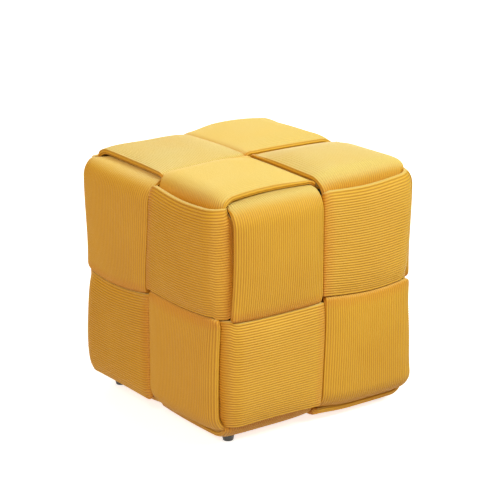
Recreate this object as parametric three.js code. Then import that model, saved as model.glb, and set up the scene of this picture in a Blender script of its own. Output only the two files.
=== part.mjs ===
// A cube ottoman covered in six padded corduroy bands, woven over and under each other round a
// dark padded box, on four small glides. Millimetres, +Z up. The origin is on the floor under
// the middle of the seat; X runs along the front and Y away from it.
//
// Each band is a closed loop. On every side of the cube it comes up from underneath in the
// middle, lies on top as far as the next edge, bends over it and goes underneath again.
import * as THREE from "three";
import { RoundedBoxGeometry } from "three/addons/geometries/RoundedBoxGeometry.js";

// Driving dimensions
const SIZE = 360.7; // 14.2 inch over all: width, depth, and height from floor to crown
const BODY_LIFT = 8.5; // from the floor to the lowest point of the bands
const BODY_MIDDLE = 185; // from the floor to where the two bands round the girth part
const SEAT_DOME = 3.2; // how much the padding of the top lifts the middle of each square there
const BAND = {
  thick: 8.4, // at its sides
  pinched: 4.2, // at the side next to the cube's edge, where another band presses on it
  gap: 1, // between a band and the band that it lies on
  seated: 0.4, // between a band and the padded box
  crown: 7, // how much the middle of a square that lies on top swells outwards
  crownBelow: 2.5, // the same on the underside, where the padding is thinner
  bend: 26, // radius of its middle surface where it turns over an edge of the cube
  inset: 11, // from its side to the outer face next to it, at the ends of a square on top
  waist: 5, // how much further in its side lies halfway along that square
  tucked: 30, // the inset where it has gone round a corner, drawn in by the bands above
  emerging: 24, // the inset where it comes up from underneath
  spread: 18, // where on top it has spread to its full width, from the middle of the face
};
const CORE = { edge: 24, steps: 3 }; // radius of the padded box's edges, and facets round each
const GLIDE = { foot: 7.6, top: 9, edge: 1.6, inset: 49, height: 8.95, sides: 24 };

const COLOUR = { corduroy: 0xd9a12e, lining: 0x17130f, plastic: 0x1c1b1a };

// Worked out from them
const { lerp, clamp, smoothstep } = THREE.MathUtils;
const HALF = SIZE / 2;
const EDGE_RADIUS = BAND.thick / 2; // of a band's rounded sides
const LAYER = BAND.thick + BAND.gap; // from a band's middle surface to that of the band below
const RISE = Math.PI / 3; // steepest slope of a band that climbs between two round sides
const NEAR_SIDE = LAYER * Math.sin(RISE); // from the middle of a face to the round side's centre
const REACH = {
  side: HALF - BAND.crown,
  up: SIZE - SEAT_DOME - BAND.crown - BODY_MIDDLE,
  down: BODY_MIDDLE - BODY_LIFT - BAND.crownBelow,
};

// What matters on a side of the cube whose outer face, without crowns, lies at `reach`: the
// middle surfaces of the band on top and of the one underneath, and the centres of their bends.
function layersAt(reach) {
  const over = reach - EDGE_RADIUS;
  const under = over - LAYER;
  return { reach, over, under, overBend: over - BAND.bend, underBend: under - BAND.bend };
}

// A band's way over one side of the cube, seen along its width: an S of two arcs round the
// sides of the two bands that it climbs between, a straight, and the bend over the next edge.
// A station has its place (along, out), its lean, and from 0 to 1 how far it is on top, how far
// it has spread, how much its side is pinched and how far through the shown stretch it is.
const STEPS = { climb: 3, widen: 3, over: 2, bend: 6 };
const NARROWING = { from: Math.PI / 6, to: Math.PI / 2 }; // angles of the bend
const PINCHING = { from: 0, to: Math.PI / 3 };
function sideRoute(side, next) {
  const stations = [];
  const shownEnd = next.underBend + (Math.PI / 2) * BAND.bend;
  const add = (along, out, lean, top, arc = 0) => {
    const widening = smoothstep(along, NEAR_SIDE / 2, BAND.spread);
    const bends = lean > 0;
    const spread = bends ? 1 - smoothstep(lean, NARROWING.from, NARROWING.to) : widening;
    const pinch = bends ? smoothstep(lean, PINCHING.from, PINCHING.to) : 1 - widening;
    const shown = clamp((along + arc) / shownEnd, 0, 1);
    stations.push({ along, out, lean, top, spread, pinch, shown });
  };
  for (let i = 0; i <= STEPS.climb; i++) {
    const slope = (RISE * i) / STEPS.climb;
    const along = LAYER * Math.sin(slope) - NEAR_SIDE;
    add(along, side.over - LAYER * Math.cos(slope), -slope, i / STEPS.climb / 2);
  }
  for (let i = STEPS.climb - 1; i >= 0; i--) {
    const slope = (RISE * i) / STEPS.climb;
    const along = NEAR_SIDE - LAYER * Math.sin(slope);
    add(along, side.under + LAYER * Math.cos(slope), -slope, 1 - i / STEPS.climb / 2);
  }
  for (let i = 1; i <= STEPS.widen; i++)
    add(lerp(NEAR_SIDE, BAND.spread, i / STEPS.widen), side.over, 0, 1);
  for (let i = 1; i <= STEPS.over; i++)
    add(lerp(BAND.spread, next.underBend, i / (STEPS.over + 1)), side.over, 0, 1);
  for (let i = 0; i <= STEPS.bend; i++) {
    const turn = ((Math.PI / 2) * i) / STEPS.bend;
    const along = BAND.bend * Math.sin(turn);
    const fall = BAND.bend * Math.cos(turn);
    const top = 1 - smoothstep(turn, Math.PI / 6, Math.PI / 2);
    add(next.underBend + along, side.overBend + fall, turn, top, turn * BAND.bend - along);
  }
  return stations;
}

// How far a band droops at `across` where it follows a bend of `radius` that starts at `start`,
// and the angle at which it then leans outwards.
const STEEPEST_DROOP = 0.95; // sine of the largest such angle
function droop(across, start, radius) {
  const tilt = Math.asin(clamp((across - start) / radius, 0, STEEPEST_DROOP));
  return { drop: radius * (1 - Math.cos(tilt)), tilt };
}

// A band's section at a station: points (across, out) about its middle surface, with across
// counted from the middle of the face. The side next to the cube's edge lies on the bend of
// the band below it.
const OUTER_SHARES = [0, 0.1, 0.25, 0.5, 0.75, 0.9, 1];
const INNER_SHARES = [1, 0.93, 0.86, 0];
const SIDE_TURNS = [Math.PI / 3, (2 * Math.PI) / 3];
const CROWN_FLATNESS = { across: 3.5, along: 0.5 };
function section({ lean, top, spread, pinch, shown }, beside, mostCrown) {
  const waist = BAND.waist * Math.sin(Math.PI * shown);
  const hidden = lean > 0 ? BAND.tucked : BAND.emerging;
  const inset = lerp(hidden, BAND.inset + waist, spread);
  const far = beside.reach - inset - EDGE_RADIUS;
  const crown = mostCrown * top * Math.sin(Math.PI * shown) ** CROWN_FLATNESS.along;
  const at = (share, side, swollen = 0, turn = 0) => {
    const across = lerp(NEAR_SIDE, far, share);
    const height = side * lerp(BAND.thick, BAND.pinched, pinch * share ** 2) / 2 + swollen;
    const over = droop(across, beside.overBend, BAND.bend + LAYER);
    const under = droop(across, beside.underBend, BAND.bend - LAYER);
    const drop = lerp(under.drop, over.drop, top);
    const tilt = lerp(under.tilt, over.tilt, top) + turn;
    return { across: across + height * Math.sin(tilt), out: height * Math.cos(tilt) - drop };
  };
  const swell = (share) => crown * (1 - Math.abs(2 * share - 1) ** CROWN_FLATNESS.across);
  return [
    ...OUTER_SHARES.map((share) => at(share, 1, swell(share))),
    ...SIDE_TURNS.map((turn) => at(1, 1, 0, turn)),
    ...INNER_SHARES.map((share) => at(share, -1)),
    ...SIDE_TURNS.map((turn) => at(0, 1, 0, turn + Math.PI)),
  ];
}

// Skins a closed ring of sections, each a closed ring of points.
function skin(rings) {
  const sides = rings[0].length;
  const index = [];
  rings.forEach((ring, i) => {
    const here = i * sides;
    const there = ((i + 1) % rings.length) * sides;
    ring.forEach((_, j) => {
      const k = (j + 1) % sides;
      index.push(here + j, there + j, there + k, here + j, there + k, here + k);
    });
  });
  const geometry = new THREE.BufferGeometry();
  const places = rings.flat().flatMap((point) => point.toArray());
  geometry.setAttribute("position", new THREE.Float32BufferAttribute(places, 3));
  geometry.setIndex(index);
  return geometry;
}

// The padding of the top lifts its middle, and all that lies there with it. The lift is measured
// where the squares on top are highest, at SQUARE_TOP of the way to the sides.
const SQUARE_TOP = 0.43;
function domed(geometry) {
  const places = geometry.getAttribute("position");
  const fall = (v) => 1 - clamp(Math.abs(v) / HALF, 0, 1) ** 2;
  const lift = SEAT_DOME / fall(HALF * SQUARE_TOP) ** 2;
  const shoulder = BODY_MIDDLE + REACH.up / 2;
  for (let i = 0; i < places.count; i++) {
    const high = smoothstep(places.getZ(i), shoulder, SIZE - SEAT_DOME - BAND.crown);
    const dome = lift * high * fall(places.getX(i)) * fall(places.getY(i));
    places.setZ(i, places.getZ(i) + dome);
  }
  return geometry;
}

// A whole band. It runs from the axis `first` towards `second`, backwards where `hand` is -1,
// and lies on the side `half` of the axis `across`.
function band({ first, second, across, half, hand }) {
  const axes = [first, second.clone().multiplyScalar(hand)];
  const axis = (turns) => axes[turns % 2].clone().multiplyScalar(turns % 4 < 2 ? 1 : -1);
  const layers = (way) => layersAt(way.z > 0.5 ? REACH.up : way.z < -0.5 ? REACH.down : REACH.side);
  const facesOut = axes[0].clone().cross(axes[1]).dot(across) * half > 0;
  const beside = layers(across.clone().multiplyScalar(half));
  const rings = [];
  for (let quarter = 0; quarter < 4; quarter++) {
    const outward = axis(quarter);
    const onward = axis(quarter + 1);
    const crown = outward.z < -0.5 ? BAND.crownBelow : BAND.crown;
    for (const station of sideRoute(layers(outward), layers(onward))) {
      const { along, out, lean } = station;
      const facing = outward.clone().multiplyScalar(Math.cos(lean));
      facing.addScaledVector(onward, Math.sin(lean));
      const place = new THREE.Vector3(0, 0, BODY_MIDDLE);
      place.addScaledVector(onward, along).addScaledVector(outward, out);
      const ring = section(station, beside, crown).map((point) =>
        place.clone().addScaledVector(facing, point.out).addScaledVector(across, point.across * half),
      );
      rings.push(facesOut ? ring : ring.reverse());
    }
  }
  return domed(skin(rings));
}

const X = new THREE.Vector3(1, 0, 0);
const Y = new THREE.Vector3(0, 1, 0);
const Z = new THREE.Vector3(0, 0, 1);
const BANDS = {
  band_round_front: { first: Z, second: X, across: Y, half: -1, hand: -1 },
  band_round_back: { first: Z, second: X, across: Y, half: 1, hand: 1 },
  band_round_left: { first: Z, second: Y, across: X, half: -1, hand: 1 },
  band_round_right: { first: Z, second: Y, across: X, half: 1, hand: -1 },
  band_girth_upper: { first: X, second: Y, across: Z, half: 1, hand: 1 },
  band_girth_lower: { first: X, second: Y, across: Z, half: -1, hand: -1 },
};

const ottoman = new THREE.Group();
function fit(name, geometry, color, roughness) {
  const material = new THREE.MeshStandardMaterial({ color, roughness });
  const mesh = new THREE.Mesh(geometry, material);
  mesh.name = name;
  ottoman.add(mesh);
  return mesh;
}

for (const [name, way] of Object.entries(BANDS)) fit(name, band(way), COLOUR.corduroy, 0.9);

// The padded box inside, in black lining. It shows in the small gaps where bands meet.
const coreReach = (reach) => layersAt(reach).under - EDGE_RADIUS - BAND.seated;
const coreWidth = 2 * coreReach(REACH.side);
const coreHeight = coreReach(REACH.up) + coreReach(REACH.down);
const core = new RoundedBoxGeometry(coreWidth, coreWidth, coreHeight, CORE.steps, CORE.edge);
core.translate(0, 0, BODY_MIDDLE + coreReach(REACH.up) - coreHeight / 2);
fit("core", domed(core), COLOUR.lining, 0.95);

// A glide: a short tapered plug under each corner, fixed up into the box through the band.
const glideOutline = [
  [0, 0],
  [GLIDE.foot - GLIDE.edge, 0],
  [GLIDE.foot, GLIDE.edge],
  [GLIDE.top, GLIDE.height],
  [0, GLIDE.height],
];
const glide = new THREE.LatheGeometry(
  glideOutline.map(([radius, height]) => new THREE.Vector2(radius, height)),
  GLIDE.sides,
);
glide.rotateX(Math.PI / 2);
const glidePlace = HALF - GLIDE.inset;
for (const [depth, y] of Object.entries({ front: -glidePlace, back: glidePlace }))
  for (const [hand, x] of Object.entries({ left: -glidePlace, right: glidePlace }))
    fit(`glide_${depth}_${hand}`, glide, COLOUR.plastic, 0.35).position.set(x, y, 0);

export default ottoman;
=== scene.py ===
import math

import bpy
import numpy as np
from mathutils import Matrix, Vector


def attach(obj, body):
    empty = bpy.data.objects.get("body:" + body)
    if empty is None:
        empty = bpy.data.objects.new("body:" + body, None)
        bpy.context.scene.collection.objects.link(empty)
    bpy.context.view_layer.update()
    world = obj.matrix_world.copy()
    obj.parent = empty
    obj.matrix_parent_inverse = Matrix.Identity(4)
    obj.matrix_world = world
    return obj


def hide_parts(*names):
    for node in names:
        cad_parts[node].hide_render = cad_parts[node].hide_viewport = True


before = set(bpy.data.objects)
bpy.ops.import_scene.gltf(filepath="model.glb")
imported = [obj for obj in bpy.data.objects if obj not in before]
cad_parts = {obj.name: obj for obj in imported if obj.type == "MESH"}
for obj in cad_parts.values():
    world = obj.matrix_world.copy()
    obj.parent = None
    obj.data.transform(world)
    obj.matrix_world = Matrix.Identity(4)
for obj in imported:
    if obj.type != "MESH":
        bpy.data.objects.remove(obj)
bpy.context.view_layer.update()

# Padded box
# A plywood box wrapped in foam under black lining cloth. Everything else is fixed on it, and it
# shows only in the small dark gaps where bands meet. Sizes are in millimetres until a mesh is made.
SIZE, BODY_LIFT, BODY_MIDDLE, SEAT_DOME = 360.7, 8.5, 185.0, 3.2
HALF = SIZE / 2
THICK, GAP, SEATED = 8.4, 1.0, 0.4
SIDE = THICK / 2
LAYER = THICK + GAP
BEND = 26.0
CROWN, CROWN_BELOW = 7.0, 2.5
REACH = {
    "side": HALF - CROWN,
    "up": SIZE - SEAT_DOME - CROWN - BODY_MIDDLE,
    "down": BODY_MIDDLE - BODY_LIFT - CROWN_BELOW,
}
BOX_EDGE = 24.0
SQUARE_TOP = 0.43
LINING = (0.012, 0.010, 0.009)
# How the stuffed cube has settled: how far the middle seam of each face sags over its two squares,
# how far upright seams lean aside, how much the seat's corners and rims are lifted, how far the
# upright edges are drawn in, and how much lower and fuller the base is at the right of the front.
SAG = {"left": (4.0, 7.5), "front": (0.5, 7.0), "right": (5.0, 3.0), "back": (4.0, 5.0)}
SEAM_LEAN = {"left": 9.0, "front": 3.5, "low": 4.0}
CORNER_LIFT = {"left": 4.0, "back": -2.5, "right": 3.5}
SEAT_RIM = {"back": 3.5, "right": -4.0}
WAIST = 2.6
BASE = {"drop": 3.5, "spread": 3.0}
# Where each of these fades in: near a face, towards a corner, beside a middle seam, beside an
# upright edge, in the upper part, from the middle line up or down, and at the base.
AT_FACE, AT_CORNER, BESIDE_SEAM, AT_EDGE = (HALF - 75, HALF - 20), (60, 165), (15, 105), (80, 165)
UPPER, SAG_HEIGHT, WAIST_HEIGHT = (240, 335), (0, 120), (15, 115)
BASE_HEIGHT, SPREAD_HEIGHT, PAST_MIDDLE = (20, 120), (15, 75), (10, 50)


def smoothstep(value, low, high):
    """0 below low, 1 above high, and 3t^2 - 2t^3 of the way t between them."""
    t = np.clip((np.asarray(value, float) - low) / (high - low), 0, 1)
    return t * t * (3 - 2 * t)


def mixed(a, b, share):
    """Goes straight from a to b as share goes from 0 to 1."""
    return a + (b - a) * share


def settled(points, hangs=1.0):
    """Gives the even cube the uneven shape that its stuffing and cloth have settled to.

    The seat is lifted by a product of two parabolas, faded out downwards, and its corners and
    two of its rims are lifted or lowered. The middle line of each side sags by a half sine over
    each square's width, faded out above, below and inwards. On the left and the front face the
    upright middle seam leans aside, and the upright edges are drawn in at mid height. hangs is
    how much of the lower and fuller base at the right of the front the points follow.
    """
    x, y, z = (points[..., k] for k in range(3))
    arch = lambda v: 1 - np.clip(np.abs(v) / HALF, 0, 1) ** 2
    near = lambda v: smoothstep(v, *AT_FACE)
    end = lambda v: smoothstep(v, *AT_CORNER)
    beside = lambda v: 1 - smoothstep(np.abs(v), *BESIDE_SEAM)

    seat = smoothstep(z, BODY_MIDDLE + REACH["up"] / 2, SIZE - SEAT_DOME - CROWN)
    dome = SEAT_DOME / arch(HALF * SQUARE_TOP) ** 2 * seat * arch(x) * arch(y)
    uneven = CORNER_LIFT["left"] * end(-x) * end(y) + CORNER_LIFT["back"] * end(x) * end(y)
    uneven = uneven + CORNER_LIFT["right"] * end(x) * end(-y)
    uneven = uneven + SEAT_RIM["back"] * near(y) * smoothstep(x, *PAST_MIDDLE)
    uneven = uneven + SEAT_RIM["right"] * near(x) * smoothstep(y, *PAST_MIDDLE) * (1 - near(y))
    rise = dome + uneven * smoothstep(z, *UPPER)

    def sagging(face, v):
        wave = np.sin(np.pi * np.clip(np.abs(v) / REACH["side"], 0, 1))
        return np.where(v < 0, *SAG[face]) * wave

    sag = sagging("left", y) * near(-x) + sagging("right", y) * near(x)
    sag = sag + sagging("front", x) * near(-y) + sagging("back", x) * near(y)
    rise = rise - sag * (1 - smoothstep(np.abs(z - BODY_MIDDLE), *SAG_HEIGHT))

    below_top = 1 - smoothstep(z, SIZE - 25, SIZE - 8)
    left = SEAM_LEAN["left"] * near(-x) * beside(y) * below_top
    left = left * smoothstep(z, BODY_MIDDLE, SIZE - 40)
    front = SEAM_LEAN["front"] * smoothstep(z, BODY_MIDDLE - 8, BODY_MIDDLE + 12) * below_top
    front = front - SEAM_LEAN["low"] * (1 - smoothstep(z, 30, BODY_MIDDLE - 25))
    front = front * near(-y) * beside(x)

    waist = WAIST * (1 - smoothstep(np.abs(z - BODY_MIDDLE - 5), *WAIST_HEIGHT))
    waist = waist * smoothstep(np.abs(x), *AT_EDGE) * smoothstep(np.abs(y), *AT_EDGE)

    base = hangs * smoothstep(x, 0, 60) * near(-y) * (1 - smoothstep(z, *BASE_HEIGHT))
    rise = rise - BASE["drop"] * base
    spread = BASE["spread"] * base * end(x) * (1 - smoothstep(z, *SPREAD_HEIGHT))
    x, y = x + front - waist * np.sign(x) + spread, y - left - waist * np.sign(y)
    return np.stack([x, y, z + rise], -1)


def under_reach(reach):
    """The middle surface of a band that lies underneath, on a side whose outer face is at reach."""
    return reach - SIDE - LAYER


def lay_mesh(name, points, wraps, uv=None, values=None):
    """Makes an object from a grid of points in millimetres, rows by columns.

    Each cell is one face. Where wraps is set the last row joins the first; columns always join.
    Without it, each end row is closed by a fan to its mean. uv has one row and one column more
    than the points where they join, and values are numbers for each point.
    """
    rows, columns = points.shape[:2]
    flat = points.reshape(-1, 3)
    i = np.arange(rows if wraps else rows - 1)[:, None]
    j = np.arange(columns)[None, :]
    here, there, next_j = i * columns, (i + 1) % rows * columns, (j + 1) % columns
    quads = np.stack([here + j, there + j, there + next_j, here + next_j], -1).reshape(-1, 4)
    corners = quads.ravel()
    starts = np.arange(len(quads)) * 4
    if not wraps:
        low, high = len(flat), len(flat) + 1
        flat = np.vstack([flat, points[0].mean(0), points[-1].mean(0)])
        ring = np.arange(columns)
        turned = (ring + 1) % columns
        last = (rows - 1) * columns
        fans = np.concatenate([
            np.stack([np.full(columns, low), ring, turned], -1),
            np.stack([np.full(columns, high), last + turned, last + ring], -1),
        ])
        starts = np.concatenate([starts, len(corners) + np.arange(len(fans)) * 3])
        corners = np.concatenate([corners, fans.ravel()])
    mesh = bpy.data.meshes.new(name)
    mesh.vertices.add(len(flat))
    mesh.vertices.foreach_set("co", (flat * 0.001).astype(np.float32).ravel())
    mesh.loops.add(len(corners))
    mesh.loops.foreach_set("vertex_index", corners.astype(np.int32))
    mesh.polygons.add(len(starts))
    mesh.polygons.foreach_set("loop_start", starts.astype(np.int32))
    mesh.update(calc_edges=True)
    mesh.polygons.foreach_set("use_smooth", np.ones(len(starts), bool))
    if uv is not None:
        i, j = np.broadcast_arrays(i, j)
        cell = [uv[i, j], uv[i + 1, j], uv[i + 1, j + 1], uv[i, j + 1]]
        layer = mesh.uv_layers.new(name="weave")
        layer.data.foreach_set("uv", np.stack(cell, 2).astype(np.float32).ravel())
    for key, value in (values or {}).items():
        mesh.attributes.new(key, "FLOAT", "POINT").data.foreach_set(
            "value", np.ascontiguousarray(value, np.float32).ravel()
        )
    piece = bpy.data.objects.new(name, mesh)
    bpy.context.scene.collection.objects.link(piece)
    return piece


class Sum:
    """A value in a material's node tree. Sums and products on it add Math nodes."""

    def __init__(self, tree, socket=None):
        self.tree, self.socket = tree, socket

    def node(self, kind, settings, sockets, output=0):
        """Adds any other node: its settings first, then its sockets, and gives one output."""
        made = self.tree.nodes.new("ShaderNode" + kind)
        for name, value in settings.items():
            setattr(made, name, value)
        for name, value in sockets.items():
            if isinstance(value, Sum):
                self.tree.links.new(value.socket, made.inputs[name])
            else:
                made.inputs[name].default_value = value
        return Sum(self.tree, made.outputs[output])

    def math(self, operation, *terms):
        return self.node("Math", {"operation": operation}, dict(enumerate(terms)))

    def __add__(self, other):
        return self.math("ADD", self, other)

    def __sub__(self, other):
        return self.math("SUBTRACT", self, other)

    def __rsub__(self, other):
        return self.math("SUBTRACT", other, self)

    def __mul__(self, other):
        return self.math("MULTIPLY", self, other)

    __radd__, __rmul__ = __add__, __mul__

    def blend(self, a, b):
        """The colour a where this value is 0 and b where it is 1."""
        settings = {"data_type": "RGBA", "clamp_factor": True}
        return self.node("Mix", settings, {0: self, 6: a, 7: b}, output=2)


def finish_named(name):
    """A new material, a Sum to start its node tree from, and its Principled shader."""
    material = bpy.data.materials.new(name)
    material.use_nodes = True
    shader = material.node_tree.nodes["Principled BSDF"]
    return material, Sum(material.node_tree), shader


def plug(tree, shader, **sockets):
    """Sets a shader's sockets by name, with _ for each space: a number or colour, or a link."""
    for name, value in sockets.items():
        target = shader.inputs[name.replace("_", " ")]
        if isinstance(value, Sum):
            tree.links.new(value.socket, target)
        else:
            target.default_value = value


lining, start, shader = finish_named("lining_cloth")
place = start.node("TexCoord", {}, {}, output=3)
weave_x = start.node("TexWave", {"bands_direction": "X"}, {"Vector": place, "Scale": 260.0})
weave_z = start.node("TexWave", {"bands_direction": "Z"}, {"Vector": place, "Scale": 260.0})
cloudy = start.node("TexNoise", {}, {"Vector": place, "Scale": 30.0, "Detail": 4.0})
relief = start.node("Bump", {}, {"Height": weave_x + weave_z, "Strength": 0.5, "Distance": 0.0004})
plug(
    lining.node_tree,
    shader,
    Base_Color=cloudy.blend((*LINING, 1), (0.022, 0.019, 0.017, 1)),
    Roughness=0.85 + 0.1 * cloudy,
    Normal=relief,
)


def rounded_square(half, radius, steps):
    """A square with round corners, as points (x, y): quarter circles about four centres."""
    turn = np.linspace(0, np.pi / 2, steps)
    arcs = []
    for quarter in range(4):
        angle = turn + quarter * np.pi / 2
        centre = (half - radius) * math.sqrt(2)
        diagonal = quarter * np.pi / 2 + np.pi / 4
        x = centre * math.cos(diagonal) + radius * np.cos(angle)
        y = centre * math.sin(diagonal) + radius * np.sin(angle)
        arcs.append(np.stack([x, y], -1))
    return np.concatenate(arcs)


def padded_box():
    """Rounded squares stacked from the bottom up, drawn in along a quarter circle at each end.

    The first and last rings shrink towards the middle of the bottom and of the top.
    """
    inner = {side: under_reach(reach) - SIDE - SEATED for side, reach in REACH.items()}
    low, high = BODY_MIDDLE - inner["down"], BODY_MIDDLE + inner["up"]
    turn = np.linspace(0, np.pi / 2, 9)
    drawn = BOX_EDGE * (1 - np.sin(turn))
    rise = BOX_EDGE * (1 - np.cos(turn))
    caps = np.linspace(0.12, 0.94, 7)
    rings = []
    for share in caps:
        rings.append(((inner["side"] - BOX_EDGE) * share, 0.0, low))
    for inset, up in zip(drawn, rise):
        rings.append((inner["side"] - inset, BOX_EDGE - inset, low + up))
    for height in np.linspace(low + BOX_EDGE, high - BOX_EDGE, 12)[1:-1]:
        rings.append((inner["side"], BOX_EDGE, height))
    for inset, up in zip(drawn[::-1], rise[::-1]):
        rings.append((inner["side"] - inset, BOX_EDGE - inset, high - up))
    for share in caps[::-1]:
        rings.append(((inner["side"] - BOX_EDGE) * share, 0.0, high))
    stack = []
    for half, radius, height in rings:
        flat = rounded_square(half, max(radius, 0.4), 10)
        stack.append(np.column_stack([flat, np.full(len(flat), height)]))
    return settled(np.array(stack)[::-1], hangs=0.0)


box = lay_mesh("padded_box", padded_box(), wraps=False)
box.data.materials.append(lining)
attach(box, "root")
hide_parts("core")

# Woven bands
# Six padded strips of mustard corduroy, ribs along them, each sewn to a closed loop round the box.
# On every side a band comes up from underneath in the middle, lies on top as far as the next
# edge, bends over it and goes underneath again.
RISE = math.pi / 3
NEAR_SIDE = LAYER * math.sin(RISE)
PINCHED, SLACK, CROOK_GAP = 4.2, 0.25, 0.55
TUCKED, EMERGING = 28.0, 26.0
COVERED_MOST = math.radians(74)
LIP_SQUARENESS, RISE_SQUARENESS, SWELL_SQUARENESS = 2.7, 5.0, 4.5
DIP_LENGTH, SIDE_FULL, START_FULL = 62.0, 0.4, 0.9
CLOSING, REOPENING, CLOSED_LESS = (0.45, 0.75), (1.25, 1.42), 0.2
RIBS, RIB_SAMPLES, SIDE_RIBS, INNER_STEPS = 40, 6, 3, 20
RIB_DEPTH = 1.2
X, Y, Z = np.eye(3)


def strip(name, first, second, across, half, hand, painted_top_light_share, dip, full, crown, inset):
    """One band's facts.

    first and second are the sides that it passes, across is the direction over its width, half
    is the half of the cube that it covers, and hand the way it turns. brushed is how much
    painted light pales its pile where it faces up, as if lit from above. dip is how low it
    comes out on the seat, which leaves the lip beside it to be seen, and full, the lower, how
    full its swell stays to the end there. crown is the swell of its four squares, as a share of
    the usual, and inset how far its far side lies in from the cube's edge on each of them, at
    the start, middle and end.
    """
    return dict(
        name=name, first=first, second=second, across=across, half=half, hand=hand,
        painted_top_light_share=painted_top_light_share, dip=dip, full=full, crown=crown, inset=inset,
    )


BANDS = [
    strip(
        "round_front", Z, X, Y, half=-1, hand=-1, painted_top_light_share=0.6, dip=4.5, full=0.4,
        crown=(1.0, 1.0, 1.0, 1.0),
        inset=((24, 31, 14), (13, 16, 15), (14, 13, 22), (18, 20, 20)),
    ),
    strip(
        "round_back", Z, X, Y, half=1, hand=1, painted_top_light_share=0.6, dip=1.0, full=1.2,
        crown=(1.3, 1.0, 1.0, 1.0),
        inset=((11, 15, 22), (14, 17, 14), (17, 19, 24), (13, 15, 13)),
    ),
    strip(
        "round_left", Z, Y, X, half=-1, hand=1, painted_top_light_share=0.85, dip=1.5, full=0.3,
        crown=(0.55, 1.0, 1.0, 1.0),
        inset=((25, 29, 23), (14, 17, 14), (24, 17, 18), (20, 25, 24)),
    ),
    strip(
        "round_right", Z, Y, X, half=1, hand=-1, painted_top_light_share=0.85, dip=4.5, full=0.4,
        crown=(1.4, 1.0, 1.0, 1.0),
        inset=((15, 19, 17), (13, 16, 11), (17, 19, 22), (14, 17, 14)),
    ),
    strip(
        "girth_upper", X, Y, Z, half=1, hand=1, painted_top_light_share=0.6, dip=0, full=0,
        crown=(1.0, 1.0, 1.0, 1.0),
        inset=((13, 18, 13), (13, 18, 13), (11, 17, 11), (14, 17, 12)),
    ),
    strip(
        "girth_lower", X, Y, Z, half=-1, hand=-1, painted_top_light_share=0.6, dip=0, full=0,
        crown=(1.0, 1.0, 1.0, 1.0),
        inset=((14, 18, 14), (20, 23, 21), (13, 16, 16), (14, 18, 14)),
    ),
]


def layers_at(reach):
    """Middle surfaces of the upper and lower band on a side, and the centres of their bends."""
    over = reach - SIDE
    under = over - LAYER
    return {
        "reach": reach,
        "over": over,
        "under": under,
        "over_bend": over - BEND,
        "under_bend": under - BEND,
    }


def risen(slope):
    """How much the padding swells outwards in the crook where a band comes up.

    Its outer face follows a squarish oval there in place of a circle about the lower band's
    side: the distance to the oval along the slope's normal, less the circle's radius.
    """
    wide, high = NEAR_SIDE + SIDE - CROOK_GAP, LAYER + SIDE
    reach = (np.sin(slope) / wide) ** RISE_SQUARENESS + (np.cos(slope) / high) ** RISE_SQUARENESS
    return np.maximum(reach ** (-1 / RISE_SQUARENESS) - high, 0)


def covered_at(inset):
    """The angle of a bend at which it goes under a lip that lies in by that inset."""
    reach = BEND + SIDE
    return min(math.acos(max(reach - inset, 0) / reach), COVERED_MOST)


def side_route(side, onward, fill, dip, covered):
    """A band's way over one side, as arrays: an S of two arcs, a straight and a bend.

    The arcs have the radius of one layer about the sides that the band climbs between. The
    bend is a quarter circle. lean is the angle at which the band's face is turned from the
    side's, arc how much longer the bend is than its advance, and top, from 0 to 1, how far the
    band is on top. fill is what the padding adds outwards there, less by dip where the band
    comes out, and covered is the angle of the bend at which the next lip hides it. spread says
    how far its far side has moved from hidden out to its shown place, pinch how flat that side
    is, draped which of the two layers' droop it follows, shown how far along its square it is,
    and closed how near its near side is to its neighbour.
    """
    below = np.linspace(-side["under_bend"], -NEAR_SIDE, 9)[1:-1]
    slope = np.linspace(0, RISE, 10)
    down = slope[-2::-1]
    straight = np.linspace(NEAR_SIDE, onward["under_bend"], 24)[1:]
    turn = np.linspace(0, np.pi / 2, 19)[1:]
    zero = np.zeros_like(straight)
    pieces = {
        "along": [
            below,
            LAYER * np.sin(slope) - NEAR_SIDE,
            NEAR_SIDE - LAYER * np.sin(down),
            straight,
            onward["under_bend"] + BEND * np.sin(turn),
        ],
        "out": [
            side["under"] + 0 * below,
            side["over"] - LAYER * np.cos(slope),
            side["under"] + LAYER * np.cos(down),
            side["over"] + zero,
            side["over_bend"] + BEND * np.cos(turn),
        ],
        "lean": [0 * below, -slope, -down, zero, turn],
        "top": [
            0 * below,
            slope / RISE / 2,
            1 - down / RISE / 2,
            1 + zero,
            1 - smoothstep(turn, np.pi / 6, np.pi / 2),
        ],
        "arc": [0 * below, 0 * slope, 0 * down, zero, BEND * (turn - np.sin(turn))],
        "fill": [0 * below, 0 * slope, risen(down) * fill, zero, 0 * turn],
    }
    way = {key: np.concatenate(value)[:, None] for key, value in pieces.items()}
    bends, top, lean = way["lean"] > 0, way["top"], way["lean"]
    low = smoothstep(top, 0.1, 1) * (1 - smoothstep(way["along"], 0, DIP_LENGTH))
    way["fill"] = way["fill"] - np.where(bends, 0, dip * low)
    widening = 0.75 * smoothstep(top, 0.15, 0.5) + 0.25 * smoothstep(top, 0.5, 1)
    narrowing = 1 - smoothstep(lean, covered, np.pi / 2)
    way["spread"] = np.where(bends, narrowing, widening)
    pinched = smoothstep(lean, covered - 0.35, covered + 0.2)
    way["pinch"] = np.where(bends, pinched, 1 - smoothstep(top, 0.2, 0.6))
    draped = 1 - smoothstep(lean, covered - 0.25, np.pi / 2)
    way["draped"] = np.where(bends, draped, smoothstep(top, 0.2, 0.5))
    under = smoothstep(way["along"], -side["under_bend"], -NEAR_SIDE)
    way["hidden"] = np.where(bends, TUCKED, mixed(TUCKED, EMERGING, under))
    shown_end = onward["under_bend"] + np.pi / 2 * BEND
    way["shown"] = np.clip((way["along"] + way["arc"]) / shown_end, 0, 1)
    closed = smoothstep(lean, *CLOSING) * (1 - smoothstep(lean, *REOPENING))
    way["closed"] = np.where(bends, closed, 0)
    return way


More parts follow.
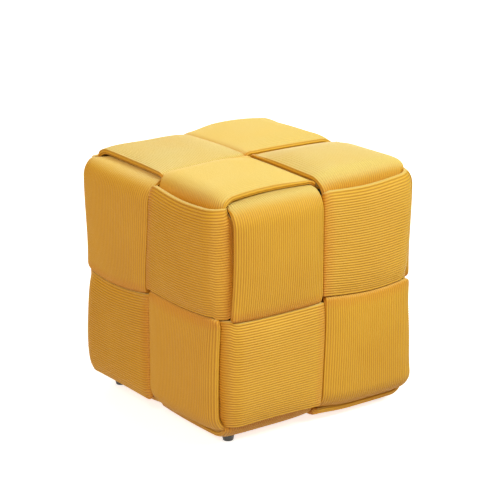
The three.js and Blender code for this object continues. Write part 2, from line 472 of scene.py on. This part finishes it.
def lip_over(side, edge):
    """The insets of the band that lies on that side of the cube with its far side at that edge."""
    for facts in BANDS:
        axes = [facts["first"], facts["second"] * facts["hand"]]
        for quarter, way in enumerate([axes[0], axes[1], -axes[0], -axes[1]]):
            if way @ side > 0.5 and facts["across"] * facts["half"] @ edge > 0.5:
                return facts["inset"][quarter]


def section_way():
    """One turn round a band's section: share across it, turn about its sides, and rib count.

    The outer face runs from the side at the middle of the cube's face to the far side, then
    come the round far side, the flat inner face and the round near side.
    """
    outer = np.arange(RIBS * RIB_SAMPLES + 1) / (RIBS * RIB_SAMPLES)
    curl = np.arange(1, SIDE_RIBS * RIB_SAMPLES) / (SIDE_RIBS * RIB_SAMPLES)
    inner = np.linspace(1, 0, INNER_STEPS)
    share = np.concatenate([outer, 1 + 0 * curl, inner, 0 * curl])
    turn = np.concatenate([0 * outer, np.pi * curl, np.pi + 0 * inner, np.pi + np.pi * curl])
    count = np.concatenate([outer * RIBS, RIBS + curl * SIDE_RIBS, 0 * inner, curl * SIDE_RIBS])
    return share[None, :], turn[None, :], count[None, :]


def droop(across, start, radius):
    """The drop and tilt where a band follows a bend of that radius from start outwards."""
    tilt = np.arcsin(np.clip((across - start) / radius, 0, 0.95))
    return radius * (1 - np.cos(tilt)), tilt


def band_grid(name, first, second, across, half, hand, painted_top_light_share, dip, full, crown, inset):
    """A whole band as a grid of points, stations along it by points round its section.

    Each point is its station's place, plus its distance across, plus its height over the
    band's middle surface along the surface's own normal. The height is half the thickness by a
    squarish oval, plus a half sine along the square times a flat arch across it, less the
    furrows between ribs. rib is 1 on the ribs, and the furrows between them get painted shade.
    fold is 1 where the band lies underneath and near the ends of its squares, where painted
    crease shade goes, and nap is 1 on pile that faces up, where painted light makes it paler.
    """
    share, curl, count = section_way()
    axes = [first, second * hand]
    axis = lambda turns: axes[turns % 2] * (1 if turns % 4 < 2 else -1)
    key = lambda way: "up" if way[2] > 0.5 else "down" if way[2] < -0.5 else "side"
    layers = lambda way: layers_at(REACH[key(way)])
    beside = layers(across * half)
    rib = 1 - (2 * (count % 1) - 1) ** 2
    rib = np.where(np.abs(curl - np.pi) < 1e-6, 1.0, rib)
    power = LIP_SQUARENESS
    lip = (np.abs(np.cos(curl)) ** power + np.abs(np.sin(curl)) ** power) ** (-1 / power)
    arch = (1 - np.abs(2 * share - 1) ** SWELL_SQUARENESS) * (curl == 0)
    rows, painted_crease_shades, painted_lit_tops = [], [], []
    for quarter in range(4):
        outward, onward = axis(quarter), axis(quarter + 1)
        on_top = key(outward) == "up"
        fill, low = (0.0, dip) if on_top else (1.0, 0.0)
        covered = covered_at(lip_over(onward, outward)[2])
        way = side_route(layers(outward), layers(onward), fill, low, covered)
        shown, lean = way["shown"], way["lean"][..., None]
        upright = key(outward) == "side" and key(onward) == "side"
        near = mixed(NEAR_SIDE, SIDE + SLACK, way["closed"] * (1.0 if upright else CLOSED_LESS))
        starts, middle, ends = inset[quarter]
        drawn = mixed(starts, ends, shown)
        drawn = drawn + (middle - (starts + ends) / 2) * np.sin(np.pi * shown)
        far = beside["reach"] - mixed(way["hidden"], drawn, way["spread"]) - SIDE
        most = crown[quarter] * (CROWN_BELOW if key(outward) == "down" else CROWN)
        fullness = mixed(START_FULL, full, shown) if on_top else SIDE_FULL
        swell = most * way["top"] * np.sin(np.pi * shown) ** fullness * arch
        place = mixed(near, far, share)
        half_thick = mixed(THICK, PINCHED, way["pinch"] * share**2) / 2
        half_thick = half_thick + way["fill"] * np.maximum(np.cos(curl), 0) ** 2
        height = half_thick * lip + swell + RIB_DEPTH * (rib - 1)
        over_drop, over_tilt = droop(place, beside["over_bend"], BEND + LAYER)
        under_drop, under_tilt = droop(place, beside["under_bend"], BEND - LAYER)
        tilt = mixed(under_tilt, over_tilt, way["draped"]) + curl
        drop = mixed(under_drop, over_drop, way["draped"])
        side_step = place + height * np.sin(tilt)
        out_step = height * np.cos(tilt) - drop
        facing = outward * np.cos(lean) + onward * np.sin(lean)
        points = Z * BODY_MIDDLE + onward * way["along"][..., None]
        points = points + outward * way["out"][..., None] + facing * out_step[..., None]
        rows.append(points + across * half * side_step[..., None])
        # Painted light: pile that faces up is made paler, as if lit from above.
        upward = facing[..., 2] * np.cos(tilt) + (across * half)[2] * np.sin(tilt)
        painted_lit_tops.append(painted_top_light_share * smoothstep(upward, 0.5, 0.98))
        # Painted crease shade: 1 where the band lies underneath, fading out just past the ends of
        # each square.
        painted_crease_shades.append(1 - way["top"] * np.clip(4 * np.sin(np.pi * shown), 0, 1) + 0 * share)
    points, painted_crease_shade, painted_lit_top = np.concatenate(rows), np.concatenate(painted_crease_shades), np.concatenate(painted_lit_tops)
    rib = rib + 0 * painted_crease_shade
    if np.dot(np.cross(axes[0], axes[1]), across) * half < 0:
        points, painted_crease_shade, rib, painted_lit_top = (grid[:, ::-1] for grid in (points, painted_crease_shade, rib, painted_lit_top))
    return settled(points), {"painted_crease_shade": painted_crease_shade, "rib": rib, "painted_lit_top": painted_lit_top}


def lengths(points):
    """Distance along the rows and along the columns, in metres, with the joining cell's too."""
    middle = points[:, points.shape[1] // 3]
    row = np.linalg.norm(np.roll(middle, -1, 0) - middle, axis=1)
    column = np.linalg.norm(np.roll(points, -1, 1) - points, axis=2).mean(0)
    run = np.concatenate([[0], np.cumsum(row)]) * 0.001
    girth = np.concatenate([[0], np.cumsum(column)]) * 0.001
    return np.stack(np.meshgrid(run, girth, indexing="ij"), -1)


# Painted shade makes the cloth darker and redder in its furrows and where it tucks under, and
# painted light makes it paler where its pile faces up.
RIDGE, SHADED_FURROW = (0.75, 0.415, 0.022), (0.48, 0.18, 0.005)
SHADED_CREASE, PAINTED_TOP_LIGHT = (0.60, 0.16, 0.004), (0.77, 0.64, 0.24)
PALER, DARKER = (0.80, 0.47, 0.035), (0.46, 0.19, 0.008)

corduroy, start, shader = finish_named("mustard_corduroy")
rib = start.node("Attribute", {"attribute_name": "rib"}, {}, output=2)
painted_crease_shade = start.node("Attribute", {"attribute_name": "painted_crease_shade"}, {}, output=2)
painted_lit_top = start.node("Attribute", {"attribute_name": "painted_lit_top"}, {}, output=2)
place = start.node("TexCoord", {}, {}, output=3)
run = start.node("UVMap", {"uv_map": "weave"}, {})
cloudy = start.node("TexNoise", {}, {"Vector": place, "Scale": 14.0, "Detail": 5.0})
stretched = start.node("Mapping", {}, {"Vector": run, "Scale": (420.0, 1500.0, 1.0)})
pile = start.node("TexNoise", {}, {"Vector": stretched, "Scale": 1.0, "Detail": 3.0})
# Painted shade: the furrows between ribs are darker and redder than the ribs.
colour = rib.blend((*SHADED_FURROW, 1), (*RIDGE, 1))
# Painted crease shade where the band tucks under its neighbours.
colour = (painted_crease_shade * 0.45).blend(colour, (*SHADED_CREASE, 1))
# Painted light: a paler colour where the pile faces up.
colour = painted_lit_top.blend(colour, (*PAINTED_TOP_LIGHT, 1))
colour = ((cloudy - 0.5) * 0.6 + 0.12).blend(colour, (*PALER, 1))
colour = ((pile - 0.35) * 0.5).blend(colour, (*DARKER, 1))
relief = start.node("Bump", {}, {"Height": pile, "Strength": 0.35, "Distance": 0.0006})
plug(
    corduroy.node_tree,
    shader,
    Base_Color=colour,
    Roughness=0.5 + 0.15 * pile,
    Normal=relief,
    Sheen_Weight=0.3,
    Sheen_Roughness=0.3,
    Sheen_Tint=(1.0, 0.92, 0.6, 1),
    Specular_IOR_Level=0.45,
)

for facts in BANDS:
    points, values = band_grid(**facts)
    name = facts["name"]
    band = lay_mesh("corduroy_" + name, points, wraps=True, uv=lengths(points), values=values)
    band.data.materials.append(corduroy)
    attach(band, "root")
    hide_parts("band_" + name)

# Glides
# Four short tapered feet, injection moulded in glossy black plastic and pushed on pins in the
# box's underside. Each has a rounded lower edge and a shallow groove below its top.
GLIDE = {"foot": 7.6, "top": 9.0, "edge": 1.6, "height": 8.95, "place": HALF - 49}
GLOSSY = (0.010, 0.010, 0.011)

plastic, start, shader = finish_named("black_plastic")
place = start.node("TexCoord", {}, {}, output=3)
grain = start.node("TexNoise", {}, {"Vector": place, "Scale": 900.0, "Detail": 2.0})
scuffs = start.node("TexNoise", {}, {"Vector": place, "Scale": 120.0, "Detail": 6.0})
relief = start.node("Bump", {}, {"Height": grain, "Strength": 0.08, "Distance": 0.0002})
plug(
    plastic.node_tree,
    shader,
    Base_Color=scuffs.blend((*GLOSSY, 1), (0.022, 0.022, 0.024, 1)),
    Roughness=0.10 + 0.20 * scuffs,
    Normal=relief,
    Coat_Weight=0.4,
    Coat_Roughness=0.08,
)


def glide_grid():
    """A glide's outline turned about its axis: foot, rounded lower edge, taper and top."""
    turn = np.linspace(0, np.pi / 2, 7)
    edge = GLIDE["edge"]
    radius = [1.5, 4.0, *(GLIDE["foot"] - edge + edge * np.sin(turn))]
    height = [0.0, 0.0, *(edge * (1 - np.cos(turn)))]
    for share, groove in ((0.3, 0), (0.55, 0), (0.62, 0.35), (0.68, 0.35), (0.75, 0), (0.93, 0)):
        height.append(mixed(edge, GLIDE["height"], share))
        radius.append(mixed(GLIDE["foot"], GLIDE["top"], share) - groove)
    radius += [GLIDE["top"] - 0.3, GLIDE["top"] - 1.2, 4.0, 1.5]
    height += [GLIDE["height"] - 0.15, GLIDE["height"], GLIDE["height"], GLIDE["height"]]
    angle = np.linspace(0, 2 * np.pi, 64, endpoint=False)
    radius, height = np.array(radius)[::-1, None], np.array(height)[::-1, None]
    ring = [radius * np.cos(angle), radius * np.sin(angle), height + 0 * angle]
    return np.stack(ring, -1)


for depth, y in (("front", -GLIDE["place"]), ("back", GLIDE["place"])):
    for hand, x in (("left", -GLIDE["place"]), ("right", GLIDE["place"])):
        points = glide_grid() + np.array([x, y, 0])
        foot = lay_mesh(f"foot_{depth}_{hand}", points, wraps=False)
        foot.data.materials.append(plastic)
        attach(foot, "root")
        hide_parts(f"glide_{depth}_{hand}")

# Floor, light and camera
# A plain white studio floor that throws no light on the cloth, a warm room, and three soft lamps:
# a strong one high in front on the right, one on the left and one behind. The camera stands at
# the photo's angle.
ground = bpy.data.meshes.new("floor")
ground.from_pydata([(-9, -9, 0), (9, -9, 0), (9, 9, 0), (-9, 9, 0)], [], [(0, 1, 2, 3)])
floor = bpy.data.objects.new("floor", ground)
bpy.context.scene.collection.objects.link(floor)
paper, start, shader = finish_named("white_floor")
plug(
    paper.node_tree,
    shader,
    Base_Color=(0.8, 0.8, 0.8, 1),
    Roughness=0.9,
    Emission_Color=(1, 1, 1, 1),
    Emission_Strength=0.72,
)
ground.materials.append(paper)
floor.visible_diffuse = False

world = bpy.data.worlds.new("studio")
bpy.context.scene.world = world
world.use_nodes = True
world.node_tree.nodes["Background"].inputs["Color"].default_value = (1, 0.68, 0.28, 1)
world.node_tree.nodes["Background"].inputs["Strength"].default_value = 0.45


def softbox(name, place, size, power, colour=(1, 1, 1)):
    """A square lamp that faces the middle of the cube."""
    lamp = bpy.data.lights.new(name, "AREA")
    lamp.shape, lamp.size, lamp.energy, lamp.color = "SQUARE", size, power, colour
    holder = bpy.data.objects.new(name, lamp)
    holder.location = place
    aim = Vector((0, 0, 0.18)) - Vector(place)
    holder.rotation_euler = aim.to_track_quat("-Z", "Y").to_euler()
    bpy.context.scene.collection.objects.link(holder)


softbox("key", (1.3, -2.1, 2.5), 1.6, 88, (0.76, 1.0, 0.93))
softbox("fill", (-2.3, -1.7, 2.0), 1.4, 50, (0.96, 1.0, 1.0))
softbox("behind", (1.0, 2.0, 1.6), 2.0, 38, (0.9, 0.93, 0.95))

AZIMUTH, ELEVATION, DISTANCE = math.radians(-36.75), math.radians(18.4), 3.2
PHOTO, FOCUS, MIDDLE = 500, 2262, (247.7, 271.4)
back = Vector((
    math.sin(AZIMUTH) * math.cos(ELEVATION),
    -math.cos(AZIMUTH) * math.cos(ELEVATION),
    math.sin(ELEVATION),
))
eye = bpy.data.cameras.new("camera")
eye.sensor_width = 36
eye.lens = FOCUS / PHOTO * eye.sensor_width
eye.shift_x = (PHOTO / 2 - MIDDLE[0]) / PHOTO
eye.shift_y = (MIDDLE[1] - PHOTO / 2) / PHOTO
eye.clip_end = 100
camera = bpy.data.objects.new("camera", eye)
camera.location = Vector((0, 0, 0.18035)) + back * DISTANCE
camera.rotation_euler = (-back).to_track_quat("-Z", "Y").to_euler()
bpy.context.scene.collection.objects.link(camera)
bpy.context.scene.camera = camera
bpy.context.scene.view_settings.view_transform = "Standard"
